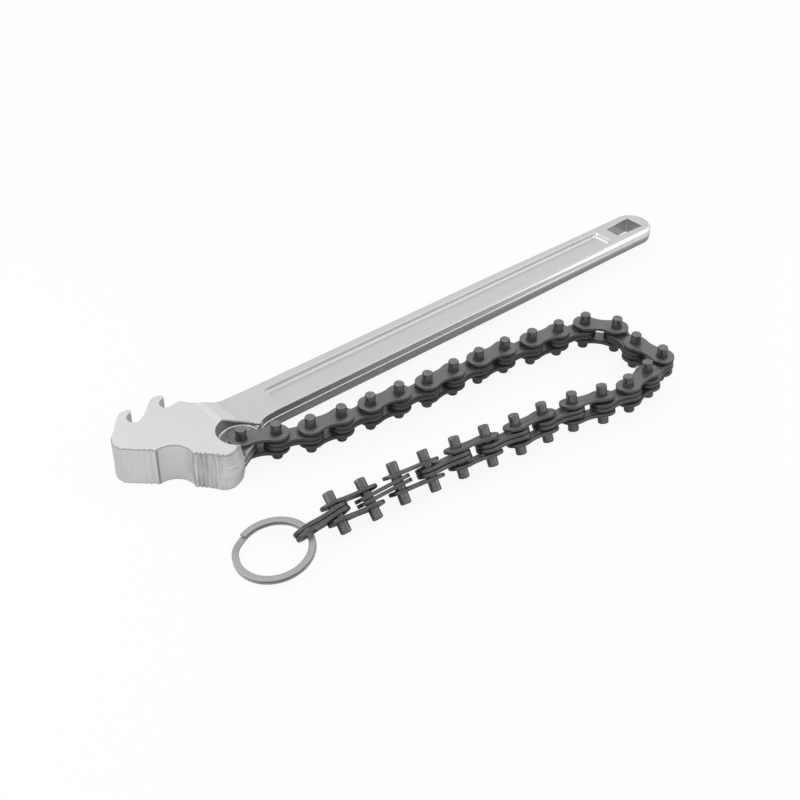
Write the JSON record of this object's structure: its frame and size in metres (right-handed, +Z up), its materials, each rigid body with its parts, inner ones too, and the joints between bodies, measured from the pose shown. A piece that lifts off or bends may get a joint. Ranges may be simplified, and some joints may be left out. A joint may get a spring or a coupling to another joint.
{
  "type": "chain pipe wrench",
  "caption": "Forged wrench with a toothed, hooked head, a recessed handle with a hanging hole, a free leaf chain with long pins and a split ring on its end.",
  "frame": {"origin": "on the handle's centre line, at the flat underside of the head, which lies on the bench", "axes": "+X along the handle towards its tip, +Y towards the hooks that catch the chain, +Z up from the bench"},
  "size_m": [0.3402, 0.1378, 0.0198],
  "materials": {
    "forging": "plated forging, satin, with a trimmed parting line",
    "chain_pin_link": "dark oiled chain steel, lighter on worn rims",
    "chain_outer_plate": "dark oiled chain steel, punched edges",
    "chain_inner_plate": "dark oiled chain steel, punched edges",
    "ring": "nickel-plated spring wire"
  },
  "bodies": {
    "handle": {"forged_handle_and_jaw": "forging"},
    "pin_link_01": {"pin_link_01": "chain_pin_link", "cover_plate_01": "chain_outer_plate"},
    "inner_link_01": {"inner_plate_upper_01": "chain_inner_plate", "inner_plate_lower_01": "chain_inner_plate"},
    "pin_link_02": {"pin_link_02": "chain_pin_link", "cover_plate_02": "chain_outer_plate"},
    "inner_link_02": {"inner_plate_upper_02": "chain_inner_plate", "inner_plate_lower_02": "chain_inner_plate"},
    "pin_link_03": {"pin_link_03": "chain_pin_link", "cover_plate_03": "chain_outer_plate"},
    "inner_link_03": {"inner_plate_upper_03": "chain_inner_plate", "inner_plate_lower_03": "chain_inner_plate"},
    "pin_link_04": {"pin_link_04": "chain_pin_link", "cover_plate_04": "chain_outer_plate"},
    "inner_link_04": {"inner_plate_upper_04": "chain_inner_plate", "inner_plate_lower_04": "chain_inner_plate"},
    "pin_link_05": {"pin_link_05": "chain_pin_link", "cover_plate_05": "chain_outer_plate"},
    "inner_link_05": {"inner_plate_upper_05": "chain_inner_plate", "inner_plate_lower_05": "chain_inner_plate"},
    "pin_link_06": {"pin_link_06": "chain_pin_link", "cover_plate_06": "chain_outer_plate"},
    "inner_link_06": {"inner_plate_upper_06": "chain_inner_plate", "inner_plate_lower_06": "chain_inner_plate"},
    "pin_link_07": {"pin_link_07": "chain_pin_link", "cover_plate_07": "chain_outer_plate"},
    "inner_link_07": {"inner_plate_upper_07": "chain_inner_plate", "inner_plate_lower_07": "chain_inner_plate"},
    "pin_link_08": {"pin_link_08": "chain_pin_link", "cover_plate_08": "chain_outer_plate"},
    "inner_link_08": {"inner_plate_upper_08": "chain_inner_plate", "inner_plate_lower_08": "chain_inner_plate"},
    "pin_link_09": {"pin_link_09": "chain_pin_link", "cover_plate_09": "chain_outer_plate"},
    "inner_link_09": {"inner_plate_upper_09": "chain_inner_plate", "inner_plate_lower_09": "chain_inner_plate"},
    "pin_link_10": {"pin_link_10": "chain_pin_link", "cover_plate_10": "chain_outer_plate"},
    "inner_link_10": {"inner_plate_upper_10": "chain_inner_plate", "inner_plate_lower_10": "chain_inner_plate"},
    "pin_link_11": {"pin_link_11": "chain_pin_link", "cover_plate_11": "chain_outer_plate"},
    "inner_link_11": {"inner_plate_upper_11": "chain_inner_plate", "inner_plate_lower_11": "chain_inner_plate"},
    "pin_link_12": {"pin_link_12": "chain_pin_link", "cover_plate_12": "chain_outer_plate"},
    "inner_link_12": {"inner_plate_upper_12": "chain_inner_plate", "inner_plate_lower_12": "chain_inner_plate"},
    "pin_link_13": {"pin_link_13": "chain_pin_link", "cover_plate_13": "chain_outer_plate"},
    "inner_link_13": {"inner_plate_upper_13": "chain_inner_plate", "inner_plate_lower_13": "chain_inner_plate"},
    "pin_link_14": {"pin_link_14": "chain_pin_link", "cover_plate_14": "chain_outer_plate"},
    "inner_link_14": {"inner_plate_upper_14": "chain_inner_plate", "inner_plate_lower_14": "chain_inner_plate"},
    "split_ring": {"split_ring": "ring"}
  },
  "joints": [
    {"name": "pin_01_turn", "type": "hinge", "parent": "handle", "child": "pin_link_01", "pos_m": [0.0189, -0.0172, 0.0097], "axis": [0, 0, 1], "range_deg": [-65, 3]},
    {"name": "pin_02_turn", "type": "hinge", "parent": "pin_link_01", "child": "inner_link_01", "pos_m": [0.03329, -0.02391, 0.0097], "axis": [0, 0, -1], "range_deg": [-8, 50]},
    {"name": "pin_03_turn", "type": "hinge", "parent": "inner_link_01", "child": "pin_link_02", "pos_m": [0.0479, -0.03011, 0.0097], "axis": [0, 0, 1], "range_deg": [-38, 8]},
    {"name": "pin_04_turn", "type": "hinge", "parent": "pin_link_02", "child": "inner_link_02", "pos_m": [0.06353, -0.03287, 0.0097], "axis": [0, 0, -1], "range_deg": [-8, 26]},
    {"name": "pin_05_turn", "type": "hinge", "parent": "inner_link_02", "child": "pin_link_03", "pos_m": [0.07932, -0.03453, 0.0097], "axis": [0, 0, 1], "range_deg": [-21, 12]},
    {"name": "pin_06_turn", "type": "hinge", "parent": "pin_link_03", "child": "inner_link_03", "pos_m": [0.09508, -0.03646, 0.0097], "axis": [0, 0, -1], "range_deg": [-12, 16]},
    {"name": "pin_07_turn", "type": "hinge", "parent": "inner_link_03", "child": "pin_link_04", "pos_m": [0.1108, -0.03867, 0.0097], "axis": [0, 0, 1], "range_deg": [-12, 16]},
    {"name": "pin_08_turn", "type": "hinge", "parent": "pin_link_04", "child": "inner_link_04", "pos_m": [0.12665, -0.0395, 0.0097], "axis": [0, 0, -1], "range_deg": [-21, 12]},
    {"name": "pin_09_turn", "type": "hinge", "parent": "inner_link_04", "child": "pin_link_05", "pos_m": [0.14251, -0.04033, 0.0097], "axis": [0, 0, 1], "range_deg": [-8, 26]},
    {"name": "pin_10_turn", "type": "hinge", "parent": "pin_link_05", "child": "inner_link_05", "pos_m": [0.15829, -0.04199, 0.0097], "axis": [0, 0, -1], "range_deg": [-35, 8]},
    {"name": "pin_11_turn", "type": "hinge", "parent": "inner_link_05", "child": "pin_link_06", "pos_m": [0.17382, -0.04529, 0.0097], "axis": [0, 0, 1], "range_deg": [-8, 45]},
    {"name": "pin_12_turn", "type": "hinge", "parent": "pin_link_06", "child": "inner_link_06", "pos_m": [0.18941, -0.04832, 0.0097], "axis": [0, 0, -1], "range_deg": [-45, 4]},
    {"name": "pin_13_turn", "type": "hinge", "parent": "inner_link_06", "child": "pin_link_07", "pos_m": [0.20481, -0.05216, 0.0097], "axis": [0, 0, 1], "range_deg": [-4, 45]},
    {"name": "pin_14_turn", "type": "hinge", "parent": "pin_link_07", "child": "inner_link_07", "pos_m": [0.21436, -0.06484, 0.0097], "axis": [0, 0, -1], "range_deg": [-45, 4]},
    {"name": "pin_15_turn", "type": "hinge", "parent": "inner_link_07", "child": "pin_link_08", "pos_m": [0.21106, -0.08037, 0.00974], "axis": [-0.0174, -0.0015, 0.9998], "range_deg": [-4, 45]},
    {"name": "pin_16_turn", "type": "hinge", "parent": "pin_link_08", "child": "inner_link_08", "pos_m": [0.21245, -0.09618, 0.00974], "axis": [0.0174, 0.0015, -0.9998], "range_deg": [-45, 4]},
    {"name": "pin_17_turn", "type": "hinge", "parent": "inner_link_08", "child": "pin_link_09", "pos_m": [0.19727, -0.10082, 0.00998], "axis": [-0.0191, 0.1553, 0.9877], "range_deg": [-4, 45]},
    {"name": "pin_18_turn", "type": "hinge", "parent": "pin_link_09", "child": "inner_link_09", "pos_m": [0.18151, -0.10276, 0.00998], "axis": [0.0191, -0.1553, -0.9877], "range_deg": [-45, 4]},
    {"name": "pin_19_turn", "type": "hinge", "parent": "inner_link_09", "child": "pin_link_10", "pos_m": [0.16583, -0.10028, 0.01002], "axis": [0.0903, 0.2781, 0.9563], "range_deg": [-16, 45]},
    {"name": "pin_20_turn", "type": "hinge", "parent": "pin_link_10", "child": "inner_link_10", "pos_m": [0.15073, -0.09537, 0.01002], "axis": [-0.0903, -0.2781, -0.9563], "range_deg": [-45, 16]},
    {"name": "pin_21_turn", "type": "hinge", "parent": "inner_link_10", "child": "pin_link_11", "pos_m": [0.1351, -0.09261, 0.00987], "axis": [0.0442, 0.4203, 0.9063], "range_deg": [-60, 60]},
    {"name": "pin_22_turn", "type": "hinge", "parent": "pin_link_11", "child": "inner_link_11", "pos_m": [0.11931, -0.09095, 0.00987], "axis": [-0.0442, -0.4203, -0.9063], "range_deg": [-60, 60]},
    {"name": "pin_23_turn", "type": "hinge", "parent": "inner_link_11", "child": "pin_link_12", "pos_m": [0.10368, -0.0882, 0.00957], "axis": [0.0829, 0.5234, 0.848], "range_deg": [-60, 60]},
    {"name": "pin_24_turn", "type": "hinge", "parent": "pin_link_12", "child": "inner_link_12", "pos_m": [0.088, -0.08571, 0.00957], "axis": [-0.0829, -0.5234, -0.848], "range_deg": [-60, 60]},
    {"name": "pin_25_turn", "type": "hinge", "parent": "inner_link_12", "child": "pin_link_13", "pos_m": [0.07229, -0.08351, 0.00891], "axis": [0.0931, 0.6626, 0.7431], "range_deg": [-60, 60]},
    {"name": "pin_26_turn", "type": "hinge", "parent": "pin_link_13", "child": "inner_link_13", "pos_m": [0.05657, -0.0813, 0.00891], "axis": [-0.0931, -0.6626, -0.7431], "range_deg": [-60, 60]},
    {"name": "pin_27_turn", "type": "hinge", "parent": "inner_link_13", "child": "pin_link_14", "pos_m": [0.0408, -0.07992, 0.00776], "axis": [0.0986, 0.803, 0.5878], "range_deg": [-60, 60]},
    {"name": "pin_28_turn", "type": "hinge", "parent": "pin_link_14", "child": "inner_link_14", "pos_m": [0.02504, -0.07798, 0.00776], "axis": [-0.0986, -0.803, -0.5878], "range_deg": [-60, 60]},
    {"name": "ring_swing", "type": "hinge", "parent": "inner_link_14", "child": "split_ring", "pos_m": [0.00921, -0.07798, 0.00667], "axis": [-0.0359, 0.8526, 0.5213], "range_deg": [-60, 60]}
  ]
}
